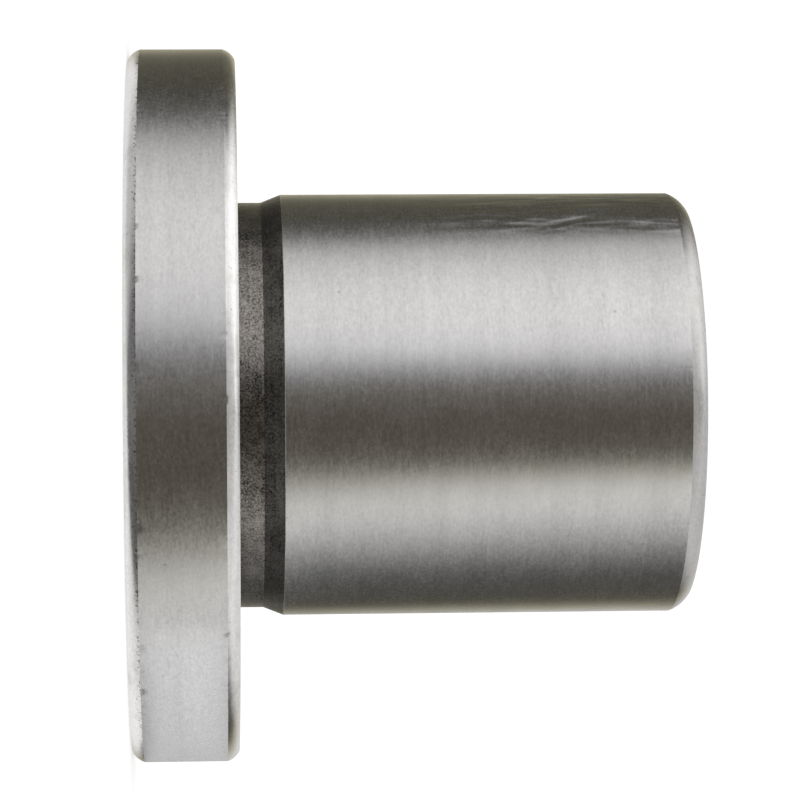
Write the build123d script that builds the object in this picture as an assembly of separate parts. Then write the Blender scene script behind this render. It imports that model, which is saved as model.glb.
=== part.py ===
from build123d import *
import os
from math import acos, atan2, cos, degrees, pi, radians, sin

# Flanged linear ball bushing for a 20 mm shaft, in millimetres.
# Z is the bore axis. Z = 0 is the flange's outer face; the barrel's free end is at SLEEVE_L.

# Envelope and mounting sizes
SHAFT_R = 10.0
BARREL_R = 16.0
SLEEVE_L = 42.0
FLANGE_R = 27.0
FLANGE_T = 8.0
MID_Z = SLEEVE_L / 2

# Outer edges of the sleeve: slightly crowned chamfers with rounded corners
FLANGE_CHAMFER_Z = 0.9
FLANGE_CHAMFER_R = 0.75
END_CHAMFER_Z = 1.2
END_CHAMFER_R = 0.9
CHAMFER_CROWN = 0.12
CROWN_ROUND = 2.0
EDGE_ROUND = 0.15

# Grinding relief between the flange and the barrel, cut into both
NECK_R = 15.4
NECK_END_Z = 9.9
CONE_END_Z = 11.35
FACE_RELIEF_R = 16.4
FACE_RELIEF_EXIT = 0.3
FACE_RELIEF_DEPTH = 0.25

# Flange screws: cap screws sunk into the outer face
SCREW_CIRCLE_R = 21.5
SCREW_COUNT = 4
FIRST_SCREW_ANGLE = 45.0
SCREW_HOLE_R = 2.75
SCREW_HEAD_R = 4.5
SCREW_HEAD_DEPTH = 5.1
HOLE_CHAMFER = 0.2
CUT_OVERRUN = 1.0

# Ball circuits: load row, turn, return row, turn
CIRCUITS = 5
BALL_R = 3.175 / 2
ROW_BALLS = 6
TURN_BALLS = 3
TURN_R = 3.25
TURN_TILT = radians(12)
PITCH = pi * TURN_R / TURN_BALLS
STRAIGHT_L = ROW_BALLS * PITCH
LOAD_ROW_R = SHAFT_R + BALL_R
RETURN_ROW_R = 12.4
FIRST_CIRCUIT_ANGLE = 90.0

# Inside of the sleeve
RUNNING_GAP = 0.045
RACE_R = LOAD_ROW_R + BALL_R + RUNNING_GAP
RACE_L = 18.6
RELIEF_R = 14.15
RETURN_GROOVE_R = BALL_R + 0.0625
MOUTH_CHAMFER_R = 0.35
MOUTH_CHAMFER_Z = 0.6

# Ball retainer
RETAINER_INNER_R = 10.3
RETAINER_OUTER_R = 13.1
RETAINER_L = 32.8
RETAINER_CHAMFER = 0.3
CHANNEL_R = BALL_R + 0.1
CHANNEL_DEPTH = 4.0

# Snap rings that hold the retainer
RING_INNER_R = 12.6
RING_OUTER_R = 14.75
RING_T = 1.0
RING_GAP = 4.5
RING_GROOVE_R = 14.8
RING_GROOVE_T = 1.1
RING_CENTRE_Z = 3.9

# End seals: a steel core with a moulded rubber lip
SEAL_FACE_Z = 0.3
SEAL_BACK_Z = 3.2
CORE_WALL_R = 13.6
CORE_WASHER_R = 11.7
CORE_WASHER_Z = 2.6
RUBBER_FACE_Z = 0.45
LIP_START_Z = 0.7
LIP_END_Z = 1.3
LIP_ROOT_R = 11.1
LIP_BACK_R = 10.8
LIP_BACK_Z = 2.4
LIP_NOSE_R = 10.3
LIP_NOSE_Z = 0.6
LIP_GROOVE_R = 11.2
LIP_GROOVE_Z = 1.3
LIP_OUTER_R = 11.9


def lathe(points):
    """Solid of revolution about Z from (radius, z) corners."""
    outline = Polyline(*points, close=True)
    return revolve(Plane.XZ * make_face(outline), Axis.Z)


def around(shape, count, first_angle):
    """Copies of a shape turned about Z at equal angles."""
    return [Rot(0, 0, first_angle + 360 / count * i) * shape for i in range(count)]


def flip_end(shape):
    """The same shape at the other end of the sleeve."""
    return mirror(shape, Plane.XY.offset(MID_Z))


def group(shapes):
    """Separate solids kept together in one node."""
    return Compound(children=list(shapes))


# Sleeve

def sleeve_inside_points():
    """Inner outline from the flange end's mouth to the plain end's mouth."""
    race_start = MID_Z - RACE_L / 2
    groove_start = RING_CENTRE_Z - RING_GROOVE_T / 2
    groove_end = RING_CENTRE_Z + RING_GROOVE_T / 2
    half = [
        (RELIEF_R + MOUTH_CHAMFER_R, 0),
        (RELIEF_R, MOUTH_CHAMFER_Z),
        (RELIEF_R, groove_start),
        (RING_GROOVE_R, groove_start),
        (RING_GROOVE_R, groove_end),
        (RELIEF_R, groove_end),
        (RELIEF_R, race_start - (RELIEF_R - RACE_R)),
        (RACE_R, race_start),
    ]
    other_half = [(r, SLEEVE_L - z) for r, z in reversed(half)]
    return half + other_half


def crown_point(low, high):
    """Top of the crown on the chamfer between two (radius, z) points, low and high in z."""
    chord = Vector(*high) - Vector(*low)
    outwards = Vector(chord.Y, -chord.X).normalized()
    crown = (Vector(*low) + Vector(*high)) * 0.5 + outwards * CHAMFER_CROWN
    return crown.X, crown.Y


def crowned(points, low, high):
    """The points with a crown added between the ones at indices low and high."""
    crown = crown_point(points[low], points[high])
    at = max(low, high)
    return points[:at] + [crown] + points[at:]


def barrel_points():
    """Outline of the barrel, from its free end to the cone."""
    points = [
        (BARREL_R - END_CHAMFER_R, SLEEVE_L),
        (BARREL_R, SLEEVE_L - END_CHAMFER_Z),
        (BARREL_R, CONE_END_Z),
    ]
    return crowned(points, 1, 0)


def relief_points():
    """Outline of the grinding relief, from the cone to the flange's inner face."""
    return [
        (NECK_R, NECK_END_Z),
        (NECK_R, FLANGE_T - FACE_RELIEF_DEPTH),
        (FACE_RELIEF_R - FACE_RELIEF_EXIT, FLANGE_T - FACE_RELIEF_DEPTH),
        (FACE_RELIEF_R, FLANGE_T),
    ]


def flange_points():
    """Outline of the flange's rim, from its inner to its outer face."""
    points = [
        (FLANGE_R - FLANGE_CHAMFER_R, FLANGE_T),
        (FLANGE_R, FLANGE_T - FLANGE_CHAMFER_Z),
        (FLANGE_R, FLANGE_CHAMFER_Z),
        (FLANGE_R - FLANGE_CHAMFER_R, 0),
    ]
    return crowned(crowned(points, 3, 2), 1, 0)


def corners_at(profile, points):
    """The profile's vertices that lie at the given (radius, z) points."""
    places = [(round(radius, 3), round(z, 3)) for radius, z in points]
    return [v for v in profile.vertices() if (round(v.X, 3), round(v.Y, 3)) in places]


def sleeve_blank():
    """Turned and ground ring with its flange, before the grooves and holes."""
    barrel, flange = barrel_points(), flange_points()
    crowns = [barrel[1], flange[1], flange[4]]
    edges = [point for point in barrel + flange if point not in crowns]
    outline = sleeve_inside_points() + barrel + relief_points() + flange
    profile = make_face(Polyline(*outline, close=True))
    profile = fillet(corners_at(profile, crowns), CROWN_ROUND)
    profile = fillet(corners_at(profile, edges), EDGE_ROUND)
    return revolve(Plane.XZ * profile, Axis.Z)


def screw_hole():
    """Counterbored hole through the flange, as the solid to cut away."""
    return lathe([
        (0, -CUT_OVERRUN),
        (SCREW_HEAD_R + HOLE_CHAMFER, -CUT_OVERRUN),
        (SCREW_HEAD_R + HOLE_CHAMFER, 0),
        (SCREW_HEAD_R, HOLE_CHAMFER),
        (SCREW_HEAD_R, SCREW_HEAD_DEPTH),
        (SCREW_HOLE_R, SCREW_HEAD_DEPTH),
        (SCREW_HOLE_R, FLANGE_T - HOLE_CHAMFER),
        (SCREW_HOLE_R + HOLE_CHAMFER, FLANGE_T),
        (SCREW_HOLE_R + HOLE_CHAMFER, FLANGE_T + CUT_OVERRUN),
        (0, FLANGE_T + CUT_OVERRUN),
    ])


def flanged_sleeve():
    """Hardened outer sleeve with return grooves between its five raceways."""
    return_point = row_points()[1]
    groove = Pos(return_point.X, return_point.Y, MID_Z) * Cylinder(RETURN_GROOVE_R, STRAIGHT_L)
    grooves = around(groove, CIRCUITS, FIRST_CIRCUIT_ANGLE)
    hole = Pos(SCREW_CIRCLE_R, 0, 0) * screw_hole()
    holes = around(hole, SCREW_COUNT, FIRST_SCREW_ANGLE)
    return sleeve_blank() - grooves - holes


# Ball circuits, drawn with the load row at angle 0

def row_points():
    """Where the load row and the return row cross the Z = 0 plane."""
    squares = LOAD_ROW_R**2 + RETURN_ROW_R**2 - (2 * TURN_R) ** 2
    row_angle = -acos(squares / (2 * LOAD_ROW_R * RETURN_ROW_R))
    load_point = Vector(LOAD_ROW_R, 0, 0)
    return_point = Vector(RETURN_ROW_R * cos(row_angle), RETURN_ROW_R * sin(row_angle), 0)
    return load_point, return_point


def turn_plane(end):
    """Plane of an end turn (end is 1 at the plain end, -1 at the flange end).

    Its x axis points at the row that feeds the turn when the load row moves up,
    and its y axis points along the bore and a little outwards, clear of the shaft.
    """
    load_point, return_point = row_points()
    feeding = load_point if end > 0 else return_point
    centre = (load_point + return_point) * 0.5
    along = (feeding - centre).normalized()
    outwards = Vector(0, 0, end).cross(along) * -1
    into_turn = Vector(0, 0, end) * cos(TURN_TILT) + outwards * sin(TURN_TILT)
    origin = centre + Vector(0, 0, MID_Z + end * STRAIGHT_L / 2)
    return Plane(origin=origin, x_dir=along, z_dir=along.cross(into_turn))


def ball_row(point):
    """Straight row of balls parallel to the bore."""
    heights = [MID_Z + (i - (ROW_BALLS - 1) / 2) * PITCH for i in range(ROW_BALLS)]
    return [Pos(point.X, point.Y, z) * Sphere(BALL_R) for z in heights]


def ball_turn(end):
    """Balls in an end turn, half a pitch in from either row."""
    plane = turn_plane(end)
    angles = [pi * (i + 0.5) / TURN_BALLS for i in range(TURN_BALLS)]
    places = [(TURN_R * cos(a), TURN_R * sin(a), 0) for a in angles]
    return [Pos(*plane.from_local_coords(place)) * Sphere(BALL_R) for place in places]


# Retainer

def straight_channel(point):
    """Channel for a row: round at the bottom and open to the outside."""
    angle = degrees(atan2(point.Y, point.X))
    radius = point.length
    bottom = Pos(radius, 0, MID_Z) * Cylinder(CHANNEL_R, STRAIGHT_L)
    opening = Pos(radius + CHANNEL_DEPTH / 2, 0, MID_Z) * Box(CHANNEL_DEPTH, 2 * CHANNEL_R, STRAIGHT_L)
    ends = [Pos(radius, 0, MID_Z + side * STRAIGHT_L / 2) * Sphere(CHANNEL_R) for side in (-1, 1)]
    return Rot(0, 0, angle) * (bottom + opening + ends)


def turn_channel(end):
    """Half-round channel that joins the two rows at one end."""
    plane = turn_plane(end)
    bottom = plane * Torus(TURN_R, CHANNEL_R, major_angle=180, align=Align.NONE)
    ring = Circle(TURN_R + CHANNEL_R) - Circle(TURN_R - CHANNEL_R)
    half_ring = ring & Pos(0, TURN_R + CHANNEL_R) * Rectangle(4 * TURN_R, 2 * (TURN_R + CHANNEL_R))
    opening = extrude(plane * half_ring, CHANNEL_DEPTH)
    return bottom + opening


def circuit_channel():
    """Closed ball channel of one circuit, as the solid to cut away."""
    load_point, return_point = row_points()
    rows = straight_channel(load_point) + straight_channel(return_point)
    return rows + turn_channel(1) + turn_channel(-1)


def ball_retainer():
    """Moulded cage that guides all the balls and keeps them in without a shaft."""
    low = MID_Z - RETAINER_L / 2
    high = MID_Z + RETAINER_L / 2
    tube = lathe([
        (RETAINER_INNER_R, low + RETAINER_CHAMFER),
        (RETAINER_INNER_R + RETAINER_CHAMFER, low),
        (RETAINER_OUTER_R - RETAINER_CHAMFER, low),
        (RETAINER_OUTER_R, low + RETAINER_CHAMFER),
        (RETAINER_OUTER_R, high - RETAINER_CHAMFER),
        (RETAINER_OUTER_R - RETAINER_CHAMFER, high),
        (RETAINER_INNER_R + RETAINER_CHAMFER, high),
        (RETAINER_INNER_R, high - RETAINER_CHAMFER),
    ])
    return tube - around(circuit_channel(), CIRCUITS, FIRST_CIRCUIT_ANGLE)


# Snap rings and seals, drawn at the flange end

def retaining_ring():
    """Open snap ring that sits in the groove and holds the retainer in."""
    ring = Cylinder(RING_OUTER_R, RING_T) - Cylinder(RING_INNER_R, RING_T)
    gap = Pos(RING_OUTER_R, 0, 0) * Box(RING_OUTER_R, RING_GAP, 2 * RING_T)
    return Pos(0, 0, RING_CENTRE_Z) * (ring - gap)


def seal_core():
    """Steel core of L section, pressed into the end of the sleeve."""
    return lathe([
        (RELIEF_R, SEAL_FACE_Z),
        (RELIEF_R, SEAL_BACK_Z),
        (CORE_WASHER_R, SEAL_BACK_Z),
        (CORE_WASHER_R, CORE_WASHER_Z),
        (CORE_WALL_R, CORE_WASHER_Z),
        (CORE_WALL_R, SEAL_FACE_Z),
    ])


def seal_lip():
    """Rubber moulded into the core, with a lip that rides on the shaft."""
    return lathe([
        (CORE_WALL_R, RUBBER_FACE_Z),
        (CORE_WALL_R, CORE_WASHER_Z),
        (CORE_WASHER_R, CORE_WASHER_Z),
        (CORE_WASHER_R, SEAL_BACK_Z),
        (LIP_ROOT_R, SEAL_BACK_Z),
        (LIP_BACK_R, LIP_BACK_Z),
        (SHAFT_R, LIP_END_Z),
        (SHAFT_R, LIP_START_Z),
        (LIP_NOSE_R, LIP_NOSE_Z),
        (LIP_GROOVE_R, LIP_GROOVE_Z),
        (LIP_OUTER_R, RUBBER_FACE_Z),
    ])


def main():
    """Write one STEP file for each piece or group of balls."""
    nodes = {
        "flanged_sleeve": flanged_sleeve(),
        "ball_retainer": ball_retainer(),
        "flange_end_retaining_ring": retaining_ring(),
        "plain_end_retaining_ring": flip_end(retaining_ring()),
        "flange_end_seal_core": seal_core(),
        "plain_end_seal_core": flip_end(seal_core()),
        "flange_end_seal_lip": seal_lip(),
        "plain_end_seal_lip": flip_end(seal_lip()),
    }
    load_point, return_point = row_points()
    ball_groups = {
        "load_balls": ball_row(load_point),
        "return_balls": ball_row(return_point),
        "plain_turn_balls": ball_turn(1),
        "flange_turn_balls": ball_turn(-1),
    }
    for circuit in range(CIRCUITS):
        turned = Rot(0, 0, FIRST_CIRCUIT_ANGLE + 360 / CIRCUITS * circuit)
        for name, balls in ball_groups.items():
            nodes[f"circuit_{circuit + 1}_{name}"] = group(turned * ball for ball in balls)
    os.makedirs("parts", exist_ok=True)
    for name, shape in nodes.items():
        export_step(shape, f"parts/{name}.step")


main()
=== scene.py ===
import math

import bmesh
import bpy
from mathutils import Matrix, Vector, noise


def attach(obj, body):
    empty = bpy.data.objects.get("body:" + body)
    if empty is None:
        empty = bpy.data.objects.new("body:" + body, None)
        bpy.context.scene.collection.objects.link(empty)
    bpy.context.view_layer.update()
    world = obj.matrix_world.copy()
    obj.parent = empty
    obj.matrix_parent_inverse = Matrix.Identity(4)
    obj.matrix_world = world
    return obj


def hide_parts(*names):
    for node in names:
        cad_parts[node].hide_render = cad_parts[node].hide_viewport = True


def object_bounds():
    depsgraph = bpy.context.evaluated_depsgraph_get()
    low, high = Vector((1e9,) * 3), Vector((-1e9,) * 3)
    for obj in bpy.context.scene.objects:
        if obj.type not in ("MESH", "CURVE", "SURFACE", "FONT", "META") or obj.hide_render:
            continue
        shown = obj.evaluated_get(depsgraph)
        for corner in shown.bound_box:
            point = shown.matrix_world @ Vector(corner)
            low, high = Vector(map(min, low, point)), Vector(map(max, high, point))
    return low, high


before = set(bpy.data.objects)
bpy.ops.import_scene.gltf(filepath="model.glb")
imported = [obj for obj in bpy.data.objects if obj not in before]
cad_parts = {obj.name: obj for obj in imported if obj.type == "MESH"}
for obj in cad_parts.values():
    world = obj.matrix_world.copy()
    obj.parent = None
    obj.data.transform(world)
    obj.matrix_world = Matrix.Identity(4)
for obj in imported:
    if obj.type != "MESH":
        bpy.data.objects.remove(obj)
bpy.context.view_layer.update()
cad_low, cad_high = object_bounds()

MM = 0.001
TO_DEGREES = 180 / math.pi
# Nearly all of a noise pattern lies between these
NOISE_LOW, NOISE_HIGH = 0.3, 0.7

# Shapes are drawn in millimetres, with the sizes of the CAD part
FLANGE_R = round(cad_high.x / MM, 3)
SLEEVE_L = round(cad_high.z / MM, 3)
FLANGE_T = 8.0
FLANGE_CHAMFER_R, FLANGE_CHAMFER_Z = 0.75, 0.9
BARREL_R = 16.0
END_CHAMFER_R, END_CHAMFER_Z = 0.9, 1.2
CROWN = 0.12
NECK_R, NECK_END_Z, CONE_END_Z = 15.4, 9.9, 11.35
FACE_RELIEF_R, FACE_RELIEF_EXIT, FACE_RELIEF_DEPTH = 16.4, 0.3, 0.25
RELIEF_R, RACE_R, RACE_START = 14.15, 13.22, 11.7
MOUTH_CHAMFER_R, MOUTH_CHAMFER_Z = 0.35, 0.6
RING_GROOVE_R, RING_GROOVE_START, RING_GROOVE_END = 14.8, 3.35, 4.45
SCREW_CIRCLE_R, SCREW_HOLE_R = 21.5, 2.75
SCREW_HEAD_R, SCREW_HEAD_DEPTH = 4.5, 5.1
HOLE_CHAMFER, CUT_OVERRUN = 0.2, 1.0
SCREWS, FIRST_SCREW_ANGLE = 4, 45.0
GROOVE_CIRCLE_R, GROOVE_R, GROOVE_L = 12.4, 1.65, 20.42
GROOVES, FIRST_GROOVE_ANGLE = 5, 90.0 - 31.21

# Seal cores and lips, as they stand at the flange end
CORE_START, CORE_BACK_Z, CORE_END_Z = 0.3, 2.6, 3.2
CORE_WALL_R, CORE_EYE_R = 13.6, 11.7
LIP_START, LIP_OUTER_R = 0.45, 11.9
LIP_BACK_R, LIP_HEEL_R, LIP_HEEL_Z = 11.1, 10.8, 2.4
LIP_EDGE_R, LIP_EDGE_START, LIP_EDGE_END = 10.0, 0.7, 1.3
LIP_TIP_R, LIP_TIP_Z = 10.3, 0.6
LIP_GROOVE_R, LIP_GROOVE_Z = 11.2, 1.3

# Fineness of the turned meshes and of their rounded corners
SEGMENTS = 960
HOLE_SEGMENTS = 96
GROOVE_SEGMENTS = 48
CORNER_STEPS = 4
CROWN_STEPS = 8
# Distance of the extra rings that keep the shading of a corner close to it
NICK_CLEAR = 0.35
# How far the sleeve's smaller corners are broken
FINE_BREAK, NECK_BREAK, CONE_BREAK_Z = 0.02, 0.03, 0.07
SHARP_ANGLE = 14.0

# Material numbers of the sleeve's surfaces
GROUND, TURNED, NECK, CONE, EDGE, END = range(6)

# (radius, z, reach, greatest depth) of the corners that have been knocked
NICKED_CORNERS = [
    (FLANGE_R, FLANGE_CHAMFER_Z, 0.20, 0.13),
    (FLANGE_R, FLANGE_T - FLANGE_CHAMFER_Z, 0.20, 0.08),
    (FLANGE_R - FLANGE_CHAMFER_R, FLANGE_T, 0.25, 0.08),
    (BARREL_R, CONE_END_Z, 0.15, 0.06),
    (BARREL_R, SLEEVE_L - END_CHAMFER_Z, 0.20, 0.06),
]
# (waves per millimetre, difference between corners, seed, threshold, strength) of wide and fine knocks
KNOCKS = [
    (0.9, 7.0, 3.0, 0.46, 1.2),
    (3.1, 5.0, 9.0, 0.34, 0.7),
]


def rgb(r, g, b):
    return (r, g, b, 1.0)


def add_object(name, mesh):
    """A new object made from a finished bmesh, which is freed."""
    data = bpy.data.meshes.new(name)
    mesh.to_mesh(data)
    mesh.free()
    made = bpy.data.objects.new(name, data)
    bpy.context.scene.collection.objects.link(made)
    return made


# ---------------------------------------------------------------- materials
# Noise scales are in features per metre, bump heights in metres.

OIL_HEIGHT = 210e-6
SKIN_GRAIN = 9e-6


class Nodes:
    """A material and short calls for adding linked nodes to it."""

    def __init__(self, name):
        self.material = bpy.data.materials.new(name)
        self.material.use_nodes = True
        self.tree = self.material.node_tree
        self.shader = self.tree.nodes["Principled BSDF"]
        self.object_point = self.add("ShaderNodeTexCoord").outputs["Object"]

    def add(self, kind, **settings):
        node = self.tree.nodes.new(kind)
        for key, value in settings.items():
            setattr(node, key, value)
        return node

    def put(self, socket, value):
        if isinstance(value, bpy.types.NodeSocket):
            self.tree.links.new(value, socket)
        else:
            socket.default_value = value

    def surface(self, **values):
        """Set the shader's inputs: base_color=... is its "Base Color" socket."""
        for key, value in values.items():
            self.put(self.shader.inputs[key.replace("_", " ").title()], value)

    def math(self, operation, a, b=0.0, c=0.0, clamp=False):
        node = self.add("ShaderNodeMath", operation=operation, use_clamp=clamp)
        for socket, value in zip(node.inputs, (a, b, c)):
            self.put(socket, value)
        return node.outputs[0]

    def varied(self, value, pattern, strength, clamp=False):
        """value with a 0 to 1 pattern added about its middle."""
        return self.math("MULTIPLY_ADD", self.math("SUBTRACT", pattern, 0.5), strength, value, clamp)

    def split(self):
        """x, y, z and the distance from the bore axis, in metres."""
        node = self.add("ShaderNodeSeparateXYZ")
        self.put(node.inputs[0], self.object_point)
        x, y, z = node.outputs
        flat = self.math("ADD", self.math("MULTIPLY", x, x), self.math("MULTIPLY", y, y))
        return x, y, z, self.math("SQRT", flat)

    def degrees_from_front(self, x, y):
        """The angle round Z, in degrees: 0 at -Y and growing towards -X."""
        turn = self.math("ARCTAN2", self.math("MULTIPLY", x, -1.0), self.math("MULTIPLY", y, -1.0))
        return self.math("MULTIPLY", turn, TO_DEGREES)

    def point(self, x, y, z):
        node = self.add("ShaderNodeCombineXYZ")
        for socket, value in zip(node.inputs, (x, y, z)):
            self.put(socket, value)
        return node.outputs[0]

    def noise(self, vector, scale, detail=2.0, rough=0.5, w=None):
        node = self.add("ShaderNodeTexNoise", noise_dimensions="3D" if w is None else "4D")
        self.put(node.inputs["Vector"], vector)
        if w is not None:
            self.put(node.inputs["W"], w)
        node.inputs["Scale"].default_value = scale
        node.inputs["Detail"].default_value = detail
        node.inputs["Roughness"].default_value = rough
        return node.outputs["Fac"]

    def drawn_out(self, place, across, along, detail=2.0, rough=0.5):
        """Noise drawn out round the bore axis: its scales across and along the marks."""
        x, y, z, r = place
        far_x = self.math("MULTIPLY", x, along)
        far_y = self.math("MULTIPLY", y, along)
        vector = self.point(far_x, far_y, self.math("MULTIPLY", z, across))
        return self.noise(vector, 1.0, detail, rough, self.math("MULTIPLY", r, across))

    def spots(self, scale):
        node = self.add("ShaderNodeTexVoronoi")
        self.put(node.inputs["Vector"], self.object_point)
        node.inputs["Scale"].default_value = scale
        return node.outputs["Distance"]

    def range(self, value, low, high, to_low=0.0, to_high=1.0, smooth=False):
        """value taken from low..high to to_low..to_high, and held at either end."""
        node = self.add("ShaderNodeMapRange", interpolation_type="SMOOTHSTEP" if smooth else "LINEAR")
        for socket, number in zip(node.inputs, (value, low, high, to_low, to_high)):
            self.put(socket, number)
        return node.outputs[0]

    def spread(self, pattern, to_low, to_high):
        """A noise pattern's usual span taken to to_low..to_high."""
        return self.range(pattern, NOISE_LOW, NOISE_HIGH, to_low, to_high)

    def mix(self, factor, a, b):
        """Colour a where factor is 0 and b where it is 1, by the node's colour sockets."""
        node = self.add("ShaderNodeMix", data_type="RGBA")
        factor_in, a_in, b_in = node.inputs[0], node.inputs[6], node.inputs[7]
        self.put(factor_in, factor)
        self.put(a_in, a)
        self.put(b_in, b)
        return node.outputs[2]

    def bump(self, height, distance, normal=None):
        node = self.add("ShaderNodeBump")
        node.inputs["Strength"].default_value = 1.0
        node.inputs["Distance"].default_value = distance
        self.put(node.inputs["Height"], height)
        if normal is not None:
            self.put(node.inputs["Normal"], normal)
        return node.outputs[0]


def turned_steel(
    name, light, dark, gloss, streak, mottling, groove=0.6e-6, anisotropy=0.0, grime=0.0, smear=False
):
    """Steel with its marks drawn out round the bore axis.

    light and dark are the ends of its colour, gloss its (low, high) roughness,
    streak the strength of the fine marks, mottling that of the wide patches and
    groove the depth of the marks. grime is how dark its dirt is, and smear adds
    the oil that was wiped over the barrel.
    """
    middle_shade, fine_share, band_share = 0.62, 0.6, 0.25
    speck_shade, speck_pit, patch_gloss = -0.5, 2.0, 0.12
    dirt_colour = rgb(0.13, 0.115, 0.09)

    n = Nodes(name)
    place = n.split()
    fine = n.drawn_out(place, 5600.0, 3400.0, detail=1.0, rough=0.6)
    wide = n.drawn_out(place, 5200.0, 800.0, rough=0.55)
    band = n.drawn_out(place, 900.0, 25.0, detail=1.0)
    patch = n.noise(n.object_point, 260.0, 4.0, 0.62)
    specks = rare_specks(n)
    marks = n.math("ADD", n.math("MULTIPLY", fine, fine_share), n.math("MULTIPLY", wide, 1 - fine_share))

    shade = n.varied(middle_shade, marks, streak)
    shade = n.varied(shade, patch, mottling)
    shade = n.varied(shade, band, band_share * streak)
    shade = n.math("MULTIPLY_ADD", specks, speck_shade, shade, clamp=True)
    colour = n.mix(shade, dark, light)
    if grime:
        dirt = n.math("MULTIPLY", chamfer_dirt(n, place), grime)
        colour = n.mix(dirt, colour, dirt_colour)
    rough = n.varied(n.spread(marks, *gloss), patch, patch_gloss)
    normal = n.bump(n.math("SUBTRACT", marks, n.math("MULTIPLY", specks, speck_pit)), groove)
    if smear:
        normal = n.bump(oil_smear(n, place), OIL_HEIGHT, normal)
    tangent = n.add("ShaderNodeTangent", direction_type="RADIAL", axis="Z").outputs[0]
    n.surface(base_color=colour, roughness=rough, metallic=1.0, normal=normal)
    n.surface(anisotropic=anisotropy, tangent=tangent)
    return n.material


def rare_specks(n):
    """Small round pits, 1 at their middles, kept only here and there."""
    pits = n.range(n.spots(520.0), 0.045, 0.09, 1.0, 0.0)
    kept = n.range(n.noise(n.object_point, 700.0, 0.0), 0.60, 0.66)
    return n.math("MULTIPLY", pits, kept)


def chamfer_dirt(n, place):
    """Crumbs, most of them along the sharp corner of the flange's outer chamfer, and faint smudges."""
    reach, gathering, smudge_strength = 0.4 * MM, 0.17, 0.3
    from_corner = n.math("ABSOLUTE", n.math("SUBTRACT", place[2], FLANGE_CHAMFER_Z * MM))
    gathered = n.range(from_corner, 0.0, reach, gathering, 0.0)
    crumbs = n.math("ADD", n.noise(n.object_point, 4200.0, 2.0, 0.7), gathered)
    crumbs = n.range(crumbs, 0.67, 0.75)
    smudge = n.range(n.noise(n.object_point, 330.0, 3.0, 0.6), 0.54, 0.72)
    return n.math("MAXIMUM", crumbs, n.math("MULTIPLY", smudge, smudge_strength))


def oil_smear(n, place):
    """Dried preservative oil wiped along the barrel on its -X side, as a height.

    It lies between two angles, in degrees from -Y towards -X, and above a height.
    """
    across, along, waver_strength = 800.0, 190.0, 2.6
    x, y, z, _ = place
    side = n.degrees_from_front(x, y)
    starts = n.range(side, 50.0, 57.0, smooth=True)
    ends = n.range(side, 84.0, 68.0, smooth=True)
    above = n.range(z, 20 * MM, 30 * MM, smooth=True)
    band = n.math("MULTIPLY", n.math("MULTIPLY", starts, ends), above)
    waver = n.math("MULTIPLY", n.noise(n.object_point, 130.0), waver_strength)
    wavy_x = n.math("MULTIPLY_ADD", x, across, waver)
    wavy_y = n.math("MULTIPLY_ADD", y, across, waver)
    streaks = n.noise(n.point(wavy_x, wavy_y, n.math("MULTIPLY", z, along)), 1.0, 1.0)
    return n.math("MULTIPLY", n.math("SUBTRACT", streaks, 0.5), band)


def unground_steel(name, light, dark):
    """Grainy brown-grey skin left by the heat treatment, where the grinding wheel did not reach."""
    n = Nodes(name)
    grain = n.noise(n.object_point, 7500.0, 2.0, 0.65)
    clump = n.noise(n.object_point, 1500.0, 3.0, 0.6)
    stain = n.noise(n.object_point, 300.0)
    turning = n.drawn_out(n.split(), 4000.0, 150.0, detail=1.0)
    shade = n.varied(0.48, grain, 2.1)
    shade = n.varied(shade, clump, 0.7)
    shade = n.varied(shade, stain, 0.8)
    shade = n.varied(shade, turning, 0.5, clamp=True)
    rough = n.spread(clump, 0.26, 0.40)
    normal = n.bump(grain, SKIN_GRAIN)
    n.surface(base_color=n.mix(shade, dark, light), roughness=rough, metallic=1.0, normal=normal)
    return n.material


def oiled_spring_steel():
    """Dark tempered steel with a thin uneven film of oil."""
    n = Nodes("oiled_spring_steel")
    marks = n.drawn_out(n.split(), 5000.0, 500.0, rough=0.6)
    film = n.noise(n.object_point, 420.0, 3.0, 0.6)
    colour = n.mix(film, rgb(0.07, 0.066, 0.06), rgb(0.20, 0.19, 0.18))
    rough = n.spread(film, 0.22, 0.46)
    n.surface(base_color=colour, roughness=rough, metallic=1.0, normal=n.bump(marks, 1.5e-6))
    return n.material


def polished_ball_steel():
    """Lapped balls with fine random scratches and a trace of oil."""
    n = Nodes("polished_ball_steel")
    film = n.noise(n.object_point, 650.0, 3.0, 0.6)
    grain = n.noise(n.object_point, 9000.0, 2.0, 0.6)
    colour = n.mix(film, rgb(0.58, 0.57, 0.56), rgb(0.74, 0.74, 0.75))
    rough = n.spread(film, 0.05, 0.13)
    n.surface(base_color=colour, roughness=rough, metallic=1.0, normal=n.bump(grain, 0.15e-6))
    return n.material


def moulded_resin():
    """Natural acetal with a faint mould grain and a warm, slightly uneven tone."""
    n = Nodes("moulded_resin")
    cloud = n.noise(n.object_point, 180.0, 3.0, 0.6)
    grain = n.noise(n.object_point, 6000.0, 2.0, 0.6)
    colour = n.mix(cloud, rgb(0.60, 0.54, 0.42), rgb(0.74, 0.70, 0.60))
    rough = n.spread(cloud, 0.34, 0.52)
    n.surface(base_color=colour, roughness=rough, normal=n.bump(grain, 4e-6))
    n.surface(subsurface_weight=0.15, subsurface_scale=0.001)
    return n.material


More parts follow.
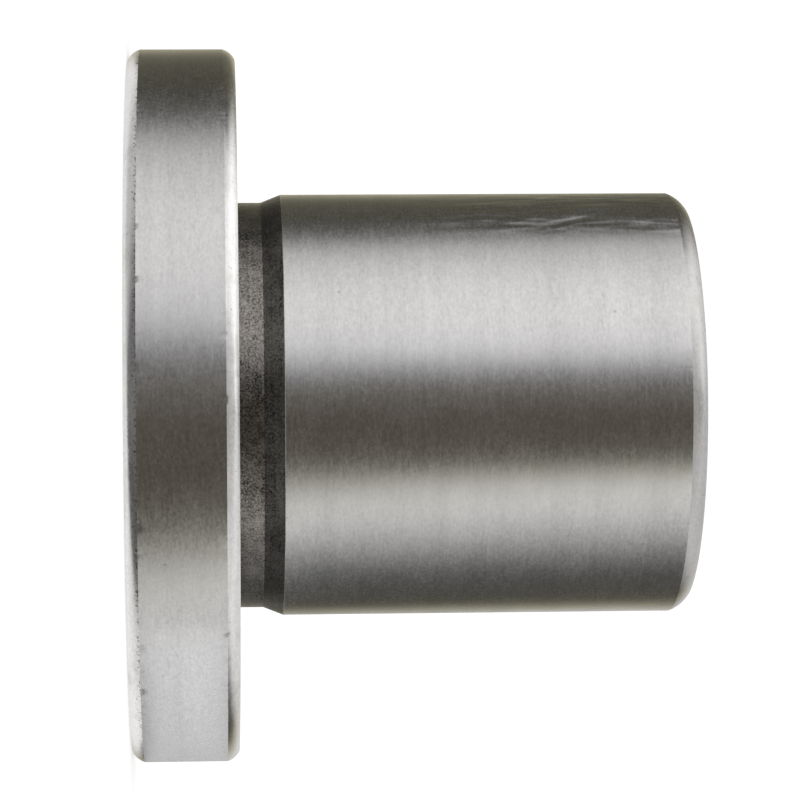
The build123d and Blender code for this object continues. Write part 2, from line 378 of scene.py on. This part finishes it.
def moulded_rubber():
    """Black nitrile rubber, a little dusty, with fine flow lines round the bore."""
    n = Nodes("moulded_rubber")
    lines = n.drawn_out(n.split(), 3600.0, 500.0, rough=0.6)
    dust = n.noise(n.object_point, 900.0, 4.0, 0.65)
    dusty = n.range(dust, 0.45, 0.8)
    colour = n.mix(dusty, rgb(0.013, 0.013, 0.014), rgb(0.06, 0.058, 0.054))
    rough = n.spread(dust, 0.42, 0.66)
    n.surface(base_color=colour, roughness=rough, normal=n.bump(lines, 7e-6))
    return n.material


# ---------------------------------------------------------------- shapes


def lathe(name, outline, materials, dents=None):
    """A solid of revolution about Z. outline is a closed loop of (radius, z, material number)."""
    mesh = bmesh.new()
    rings = []
    for i in range(SEGMENTS):
        angle = 2 * math.pi * i / SEGMENTS
        ring = []
        for radius, z, _ in outline:
            point = Vector((radius * math.cos(angle), radius * math.sin(angle), z))
            if dents:
                point = dents(point)
            ring.append(mesh.verts.new(point * MM))
        rings.append(ring)
    for i in range(SEGMENTS):
        here = rings[i]
        there = rings[(i + 1) % SEGMENTS]
        for j in range(len(outline)):
            k = (j + 1) % len(outline)
            face = mesh.faces.new((here[j], here[k], there[k], there[j]))
            face.material_index = outline[j][2]
            face.smooth = True
    bmesh.ops.recalc_face_normals(mesh, faces=mesh.faces)
    piece = add_object(name, mesh)
    for material in materials:
        piece.data.materials.append(material)
    return piece


def rounded(corners):
    """The outline through (radius, z, round) corners, each rounded by that size, in one material."""
    points = []
    for i, (radius, z, size) in enumerate(corners):
        here = Vector((radius, z))
        before = Vector(corners[i - 1][:2])
        after = Vector(corners[(i + 1) % len(corners)][:2])
        start = here + (before - here).normalized() * size
        end = here + (after - here).normalized() * size
        for step in range(CORNER_STEPS + 1):
            t = step / CORNER_STEPS
            p = start.lerp(here, t).lerp(here.lerp(end, t), t)
            points.append((p.x, p.y, 0))
    return points


def crowned_edge(low, high):
    """The arc between two (radius, z) corners, low and high in z, that stands proud of their chord."""
    chord = Vector(high) - Vector(low)
    outwards = Vector((chord.y, -chord.x)).normalized()
    points = []
    for step in range(CROWN_STEPS + 1):
        t = step / CROWN_STEPS
        p = Vector(low) + chord * t + outwards * CROWN * 4 * t * (1 - t)
        points.append((p.x, p.y))
    return points


def add_plug(mesh, circle_r, angle, profile, turn):
    """Add a closed solid of (radius, z) rings to mesh, upright at an angle round the bore axis."""
    centre = Vector((circle_r * math.cos(angle), circle_r * math.sin(angle), 0))
    rings = []
    for radius, z in profile:
        ring = []
        for k in range(turn):
            spin = 2 * math.pi * k / turn
            offset = Vector((radius * math.cos(spin), radius * math.sin(spin), z))
            ring.append(mesh.verts.new((centre + offset) * MM))
        rings.append(ring)
    for a, b in zip(rings, rings[1:]):
        for k in range(turn):
            m = (k + 1) % turn
            mesh.faces.new((a[k], a[m], b[m], b[k]))
    mesh.faces.new(list(reversed(rings[0])))
    mesh.faces.new(rings[-1])


def cutting_tool():
    """The shapes that are cut out of the sleeve: counterbored screw holes and the return grooves."""
    hole = [
        (SCREW_HEAD_R + HOLE_CHAMFER, -CUT_OVERRUN),
        (SCREW_HEAD_R + HOLE_CHAMFER, 0.0),
        (SCREW_HEAD_R, HOLE_CHAMFER),
        (SCREW_HEAD_R, SCREW_HEAD_DEPTH),
        (SCREW_HOLE_R, SCREW_HEAD_DEPTH),
        (SCREW_HOLE_R, FLANGE_T - HOLE_CHAMFER),
        (SCREW_HOLE_R + HOLE_CHAMFER, FLANGE_T),
        (SCREW_HOLE_R + HOLE_CHAMFER, FLANGE_T + CUT_OVERRUN),
    ]
    groove = [(GROOVE_R, (SLEEVE_L - GROOVE_L) / 2), (GROOVE_R, (SLEEVE_L + GROOVE_L) / 2)]
    mesh = bmesh.new()
    for i in range(SCREWS):
        angle = math.radians(FIRST_SCREW_ANGLE + 360 / SCREWS * i)
        add_plug(mesh, SCREW_CIRCLE_R, angle, hole, HOLE_SEGMENTS)
    for i in range(GROOVES):
        angle = math.radians(FIRST_GROOVE_ANGLE + 360 / GROOVES * i)
        add_plug(mesh, GROOVE_CIRCLE_R, angle, groove, GROOVE_SEGMENTS)
    bmesh.ops.recalc_face_normals(mesh, faces=mesh.faces)
    return add_object("cutting_tool", mesh)


def inside_outline():
    """The sleeve's inner section, from the flange end's mouth to the plain end's."""
    half = [
        (RELIEF_R + MOUTH_CHAMFER_R, 0.0),
        (RELIEF_R, MOUTH_CHAMFER_Z),
        (RELIEF_R, RING_GROOVE_START),
        (RING_GROOVE_R, RING_GROOVE_START),
        (RING_GROOVE_R, RING_GROOVE_END),
        (RELIEF_R, RING_GROOVE_END),
        (RELIEF_R, RACE_START - (RELIEF_R - RACE_R)),
        (RACE_R, RACE_START),
    ]
    other_half = [(radius, SLEEVE_L - z) for radius, z in reversed(half)]
    return [(radius, z, TURNED) for radius, z in half + other_half]


def barrel_outline():
    """From the end chamfer down the ground barrel to the cone's edge."""
    corner = SLEEVE_L - END_CHAMFER_Z
    chamfer = crowned_edge((BARREL_R, corner), (BARREL_R - END_CHAMFER_R, SLEEVE_L))
    outline = [(radius, z, END) for radius, z in reversed(chamfer[1:])]
    heights = [
        corner,
        corner - NICK_CLEAR,
        corner - END_CHAMFER_Z,
        CONE_END_Z + END_CHAMFER_Z,
        CONE_END_Z + NICK_CLEAR,
        CONE_END_Z + 2 * FINE_BREAK,
    ]
    return outline + [(BARREL_R, z, GROUND) for z in heights]


def relief_outline():
    """Cone, neck and the shallow relief in the flange's inner face, with their edges broken."""
    floor_z = FLANGE_T - FACE_RELIEF_DEPTH
    exit_r = FACE_RELIEF_R - FACE_RELIEF_EXIT
    return [
        (BARREL_R - FINE_BREAK, CONE_END_Z, CONE),
        (NECK_R + NECK_BREAK, NECK_END_Z + CONE_BREAK_Z, CONE),
        (NECK_R, NECK_END_Z - NECK_BREAK, NECK),
        (NECK_R, floor_z + NECK_BREAK, NECK),
        (NECK_R + NECK_BREAK, floor_z, TURNED),
        (exit_r - FINE_BREAK, floor_z, TURNED),
        (exit_r + FINE_BREAK, floor_z + FINE_BREAK, TURNED),
        (FACE_RELIEF_R - 2 * FINE_BREAK, FLANGE_T - FINE_BREAK, TURNED),
        (FACE_RELIEF_R + 2 * FINE_BREAK, FLANGE_T, TURNED),
        (FACE_RELIEF_R + FACE_RELIEF_EXIT, FLANGE_T, TURNED),
    ]


def flange_outline():
    """Inner face, back chamfer, ground rim, front chamfer and outer face of the flange."""
    face_r = FLANGE_R - FLANGE_CHAMFER_R
    front_z = FLANGE_CHAMFER_Z
    back_z = FLANGE_T - FLANGE_CHAMFER_Z
    front = crowned_edge((face_r, 0.0), (FLANGE_R, front_z))
    back = crowned_edge((FLANGE_R, back_z), (face_r, FLANGE_T))
    outline = [(face_r - clear, FLANGE_T, TURNED) for clear in (2 * NICK_CLEAR, NICK_CLEAR)]
    outline += [(radius, z, EDGE) for radius, z in reversed(back[1:])]
    rim = [back_z - clear for clear in (0.0, NICK_CLEAR, 2 * NICK_CLEAR)]
    rim += [front_z + clear for clear in (2 * NICK_CLEAR, NICK_CLEAR)]
    outline += [(FLANGE_R, z, GROUND) for z in rim]
    outline += [(radius, z, EDGE) for radius, z in reversed(front[1:])]
    outline += [(face_r - clear, 0.0, TURNED) for clear in (0.0, NICK_CLEAR, 2 * NICK_CLEAR)]
    return outline


def edge_nicks(point):
    """Small knocks along the sharp corners, pressed in towards the axis."""
    radius = point.xy.length
    depth = 0.0
    for corner_r, corner_z, reach, most in NICKED_CORNERS:
        gap = math.hypot(radius - corner_r, point.z - corner_z)
        if gap < reach:
            along = math.atan2(point.y, point.x) * corner_r
            amount = 0.0
            for per_mm, spread, seed, threshold, strength in KNOCKS:
                wave = noise.noise(Vector((along * per_mm, corner_z * spread, seed)))
                amount += max(0.0, wave - threshold) * strength
            depth = max(depth, most * amount * (1 - gap / reach))
    if depth:
        point.xy = point.xy * (1 - depth / radius)
    return point


def sleeve_materials():
    """One material for each of the sleeve's surfaces, in the order of their numbers."""
    ground = turned_steel(
        "ground_steel",
        light=rgb(0.78, 0.775, 0.77),
        dark=rgb(0.44, 0.435, 0.43),
        gloss=(0.21, 0.29),
        streak=1.45,
        mottling=0.12,
        anisotropy=0.3,
        smear=True,
    )
    turned = turned_steel(
        "turned_steel",
        light=rgb(0.78, 0.775, 0.765),
        dark=rgb(0.36, 0.355, 0.345),
        gloss=(0.18, 0.30),
        streak=0.8,
        mottling=0.3,
    )
    # The neck and the cone share one unground skin in lit and shaded copies: the neck's lighter copy is
    # painted light, and the cone's darker copy is painted shade, because the cone faces down towards the
    # flange.
    neck = unground_steel("unground_neck_painted_light", rgb(0.46, 0.435, 0.405), rgb(0.035, 0.032, 0.028))
    cone = unground_steel("unground_cone_painted_shade", rgb(0.205, 0.20, 0.185), rgb(0.022, 0.021, 0.019))
    # The flange chamfers' copy of the turned steel is made lighter than the faces and the end chamfer,
    # as painted light for their bright reflection; its grime is real dirt.
    edge = turned_steel(
        "flange_chamfer_painted_light",
        light=rgb(0.92, 0.915, 0.905),
        dark=rgb(0.46, 0.455, 0.45),
        gloss=(0.16, 0.28),
        streak=1.0,
        mottling=0.3,
        groove=1.2e-6,
        grime=0.75,
    )
    # The end chamfer's copy of the chamfer steel is made darker, as painted shade; its grime is real
    # dirt.
    end = turned_steel(
        "end_chamfer_painted_shade",
        light=rgb(0.64, 0.635, 0.625),
        dark=rgb(0.28, 0.275, 0.27),
        gloss=(0.18, 0.30),
        streak=1.0,
        mottling=0.5,
        groove=1.2e-6,
        grime=0.55,
    )
    return [ground, turned, neck, cone, edge, end]


def make_sleeve():
    materials = sleeve_materials()
    outline = inside_outline() + barrel_outline() + relief_outline() + flange_outline()
    sleeve = lathe("sleeve", outline, materials, edge_nicks)
    tool = cutting_tool()
    tool.data.materials.append(materials[TURNED])
    cut = sleeve.modifiers.new("holes", "BOOLEAN")
    cut.operation = "DIFFERENCE"
    cut.solver = "EXACT"
    cut.material_mode = "TRANSFER"
    cut.object = tool
    bpy.context.view_layer.update()
    evaluated = sleeve.evaluated_get(bpy.context.evaluated_depsgraph_get())
    finished = bpy.data.meshes.new_from_object(evaluated)
    sleeve.modifiers.clear()
    sleeve.data = finished
    bpy.data.objects.remove(tool)
    sleeve.data.set_sharp_from_angle(angle=math.radians(SHARP_ANGLE))
    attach(sleeve, "sleeve_assembly")
    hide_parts("flanged_sleeve")


def seal_core_outline():
    """Pressed steel L section, drawn at the flange end."""
    return rounded([
        (RELIEF_R, CORE_START, 0.22),
        (RELIEF_R, CORE_END_Z, 0.35),
        (CORE_EYE_R, CORE_END_Z, 0.08),
        (CORE_EYE_R, CORE_BACK_Z, 0.08),
        (CORE_WALL_R, CORE_BACK_Z, 0.15),
        (CORE_WALL_R, CORE_START, 0.1),
    ])


def seal_lip_outline():
    """Rubber in the core, with its lip on the shaft's radius, drawn at the flange end."""
    return rounded([
        (CORE_WALL_R, LIP_START, 0.06),
        (CORE_WALL_R, CORE_BACK_Z, 0.1),
        (CORE_EYE_R, CORE_BACK_Z, 0.05),
        (CORE_EYE_R, CORE_END_Z, 0.05),
        (LIP_BACK_R, CORE_END_Z, 0.12),
        (LIP_HEEL_R, LIP_HEEL_Z, 0.25),
        (LIP_EDGE_R, LIP_EDGE_END, 0.03),
        (LIP_EDGE_R, LIP_EDGE_START, 0.03),
        (LIP_TIP_R, LIP_TIP_Z, 0.12),
        (LIP_GROOVE_R, LIP_GROOVE_Z, 0.3),
        (LIP_OUTER_R, LIP_START, 0.25),
    ])


def at_plain_end(outline):
    return [(radius, SLEEVE_L - z, index) for radius, z, index in outline]


def make_seals():
    """A pressed core and a rubber lip at either end."""
    core_steel = turned_steel(
        "pressed_steel",
        light=rgb(0.62, 0.61, 0.60),
        dark=rgb(0.30, 0.29, 0.28),
        gloss=(0.26, 0.38),
        streak=0.8,
        mottling=0.4,
    )
    parts = [
        ("seal_core", seal_core_outline(), core_steel, "seal_core_steel"),
        ("seal_lip", seal_lip_outline(), moulded_rubber(), "seal_rubber"),
    ]
    for end in ("flange_end", "plain_end"):
        for part, outline, material, slot in parts:
            if end == "plain_end":
                outline = at_plain_end(outline)
            piece = lathe(f"{end}_{part}_made", outline, [material])
            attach(piece, "sleeve_assembly")
            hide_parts(f"{end}_{part}")


def dress_carried_nodes():
    """Materials for the CAD nodes that are kept: snap rings, retainer and balls."""
    looks = {
        "retaining_ring": (oiled_spring_steel(), "spring_steel"),
        "retainer": (moulded_resin(), "cage_resin"),
        "balls": (polished_ball_steel(), "ball_steel"),
    }
    for name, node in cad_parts.items():
        for ending, (material, slot) in looks.items():
            if name.endswith(ending):
                node.data.materials.clear()
                node.data.materials.append(material)


# ---------------------------------------------------------------- studio
# Lights stand at degrees round the Z axis: 0 on the camera's side, -Y, and growing towards -X.

NEUTRAL = (1.0, 0.99, 0.985)
WARM = (1.0, 1.0, 0.96)
STRAW = (1.04, 1.0, 0.82)
OLIVE = (1.05, 1.0, 0.74)
BROWN = (1.15, 1.0, 0.80)
COOL = (1.0, 0.99, 1.02)
# Two side softboxes with a dark gap round the camera, and dark behind each of them.
SIDES = [
    (-180, 0.70, NEUTRAL),
    (-166, 0.42, OLIVE),
    (-154, 0.08, OLIVE),
    (-120, 0.09, NEUTRAL),
    (-105, 0.22, NEUTRAL),
    (-90, 0.50, NEUTRAL),
    (-75, 0.80, NEUTRAL),
    (-60, 0.90, WARM),
    (-54, 0.60, STRAW),
    (-46, 0.10, STRAW),
    (-30, 0.098, BROWN),
    (-12, 0.086, BROWN),
    (0, 0.122, BROWN),
    (13, 0.17, NEUTRAL),
    (20, 0.50, COOL),
    (28, 0.92, COOL),
    (45, 1.03, NEUTRAL),
    (62, 1.01, NEUTRAL),
    (78, 0.85, NEUTRAL),
    (92, 0.60, NEUTRAL),
    (102, 0.12, NEUTRAL),
    (120, 0.07, OLIVE),
    (150, 0.15, OLIVE),
    (166, 0.60, OLIVE),
    (180, 0.70, NEUTRAL),
]
# The tent's roof, brighter on the -X side.
ROOF = [
    (-180, 0.80, NEUTRAL),
    (-130, 0.85, NEUTRAL),
    (-85, 1.00, NEUTRAL),
    (-55, 0.85, NEUTRAL),
    (-10, 0.55, WARM),
    (10, 0.62, NEUTRAL),
    (40, 1.10, NEUTRAL),
    (65, 1.45, NEUTRAL),
    (110, 1.45, NEUTRAL),
    (140, 1.20, NEUTRAL),
    (180, 0.80, NEUTRAL),
]
# What a surface that faces down sees of the table.
TABLE = [
    (-180, 0.90, NEUTRAL),
    (-140, 1.10, NEUTRAL),
    (-102, 0.95, NEUTRAL),
    (-76, 0.75, NEUTRAL),
    (-69, 0.15, NEUTRAL),
    (-40, 0.12, NEUTRAL),
    (0, 0.20, NEUTRAL),
    (40, 0.18, NEUTRAL),
    (70, 0.50, NEUTRAL),
    (95, 0.65, NEUTRAL),
    (115, 0.60, NEUTRAL),
    (140, 1.00, NEUTRAL),
    (180, 0.90, NEUTRAL),
]


class Sky(Nodes):
    """The world's shader, built with the same short calls as a material."""

    def __init__(self, name):
        self.world = bpy.data.worlds.new(name)
        self.world.use_nodes = True
        self.tree = self.world.node_tree
        self.shader = self.tree.nodes["Background"]

    def scaled(self, colour, factor):
        """A colour made brighter or darker by a factor."""
        node = self.add("ShaderNodeVectorMath", operation="SCALE")
        self.put(node.inputs[0], colour)
        self.put(node.inputs["Scale"], factor)
        return node.outputs[0]

    def ring(self, around, stops):
        """Light levels round the object: (degrees, level, tint) from -180 to 180."""
        node = self.add("ShaderNodeValToRGB")
        self.put(node.inputs[0], self.math("MULTIPLY_ADD", around, 1 / 360, 0.5))
        elements = node.color_ramp.elements
        elements.remove(elements[-1])
        elements[0].position = 0.0
        for i, (degrees, level, tint) in enumerate(stops):
            stop = elements[0] if i == 0 else elements.new((degrees + 180) / 360)
            stop.color = rgb(*(level * part for part in tint))
        return node.outputs[0]


def light_sky():
    """Side softboxes all round, under a roof and over a table."""
    sky = Sky("studio")
    bpy.context.scene.world = sky.world
    split = sky.add("ShaderNodeSeparateXYZ")
    sky.put(split.inputs[0], sky.add("ShaderNodeTexCoord").outputs["Generated"])
    to_x, to_y, rise = split.outputs
    around = sky.degrees_from_front(to_x, to_y)
    height = sky.math("MULTIPLY", rise, TO_DEGREES)
    # Both softboxes lean outwards a little, so that their edges lie aslant along the barrel.
    lean = sky.math("POWER", sky.range(height, -0.4, 7.6), 0.38)
    lean = sky.math("MULTIPLY", lean, sky.range(around, -20.0, 0.0, -16.0, 0.0))
    far_lean = sky.range(around, 80.0, 95.0, 0.0, -8.0)
    lean = sky.math("MULTIPLY_ADD", sky.range(height, 3.0, 8.0), far_lean, lean)
    sides = sky.ring(sky.math("ADD", around, lean), SIDES)
    sides = sky.scaled(sides, sky.range(height, 0.5, 8.0, 1.0, 1.13))
    # The roof comes lower on the +X side.
    roof_rise = sky.math("ADD", rise, sky.range(to_x, 0.0, 0.4, 0.0, 0.12))
    under_roof = sky.range(roof_rise, 0.45, 0.75, smooth=True)
    over_table = sky.range(rise, -0.12, -0.30, smooth=True)
    light = sky.mix(under_roof, sides, sky.ring(around, ROOF))
    light = sky.mix(over_table, light, sky.ring(around, TABLE))
    sky.put(sky.shader.inputs[0], light)


def floor_paper():
    """Matt pale paper that also gives off a little light of its own."""
    n = Nodes("floor_paper")
    n.surface(base_color=rgb(0.84, 0.84, 0.84), roughness=1.0)
    n.surface(emission_color=rgb(1.0, 1.0, 1.0), emission_strength=0.50)
    n.shader.inputs["Specular IOR Level"].default_value = 0.0
    return n.material


def white_card():
    """Glowing card whose light fades towards the end that is further from the camera."""
    n = Nodes("white_card")
    glow = n.range(n.split()[1], -0.020, 0.025, 0.53, 0.33)
    n.surface(base_color=rgb(0.8, 0.8, 0.8), roughness=1.0)
    n.surface(emission_color=rgb(0.98, 0.985, 1.02), emission_strength=glow)
    return n.material


def stand_reflector():
    """A low white card on the table beside the flange on the +X side, out of the camera's sight."""
    card_r, low_z, high_z = 0.046, 0.2 * MM, 8.5 * MM
    start, sweep, steps = -38, 78, 32
    mesh = bmesh.new()
    rows = []
    for step in range(steps + 1):
        angle = math.radians(start + sweep * step / steps)
        x, y = card_r * math.cos(angle), card_r * math.sin(angle)
        rows.append([mesh.verts.new((x, y, z)) for z in (low_z, high_z)])
    for a, b in zip(rows, rows[1:]):
        mesh.faces.new((a[0], b[0], b[1], a[1]))
    card = add_object("reflector", mesh)
    card.data.materials.append(white_card())
    card.visible_camera = False
    card.visible_shadow = False
    card.visible_diffuse = False


def lay_floor():
    """A pale floor that curves up into a wall all round, so that there is no horizon."""
    flat_r, bend_r, wall_top, steps, turn = 0.35, 1.0, 1.6, 12, 96
    profile = [(flat_r, 0.0)]
    for step in range(1, steps + 1):
        angle = math.radians(90 * step / steps)
        profile.append((flat_r + bend_r * math.sin(angle), bend_r - bend_r * math.cos(angle)))
    profile.append((flat_r + bend_r, wall_top))
    mesh = bmesh.new()
    middle = mesh.verts.new((0, 0, 0))
    rings = []
    for radius, z in profile:
        ring = []
        for k in range(turn):
            spin = 2 * math.pi * k / turn
            ring.append(mesh.verts.new((radius * math.cos(spin), radius * math.sin(spin), z)))
        rings.append(ring)
    for k in range(turn):
        m = (k + 1) % turn
        mesh.faces.new((middle, rings[0][k], rings[0][m]))
        for a, b in zip(rings, rings[1:]):
            mesh.faces.new((a[k], b[k], b[m], a[m]))
    for face in mesh.faces:
        face.smooth = True
    floor = add_object("floor", mesh)
    floor.data.materials.append(floor_paper())
    floor.visible_glossy = False
    floor.visible_diffuse = False


def place_camera():
    """Low over the floor and rolled on its side, as the object was shot."""
    sensor_width, lens = 36.0, 154.89
    place = (0.00002, -0.26279, 0.00593)
    sideways, upwards, roll = -0.0012, 0.0553, 0.0075
    data = bpy.data.cameras.new("camera")
    data.sensor_width = sensor_width
    data.lens = lens
    data.clip_start = 0.01
    data.clip_end = 10.0
    camera = bpy.data.objects.new("camera", data)
    bpy.context.scene.collection.objects.link(camera)
    forward = Vector((sideways, math.cos(upwards), math.sin(upwards)))
    forward.normalize()
    right = Vector((0, 0, 1)) - forward * forward.z
    right.normalize()
    up = right.cross(forward)
    turned = Matrix.Rotation(roll, 3, forward)
    right, up = turned @ right, turned @ up
    axes = Matrix((right, up, -forward)).transposed()
    camera.matrix_world = Matrix.Translation(place) @ axes.to_4x4()
    bpy.context.scene.camera = camera


make_sleeve()
make_seals()
dress_carried_nodes()
light_sky()
lay_floor()
stand_reflector()
place_camera()
bpy.context.scene.view_settings.view_transform = "Standard"

bpy.context.view_layer.update()
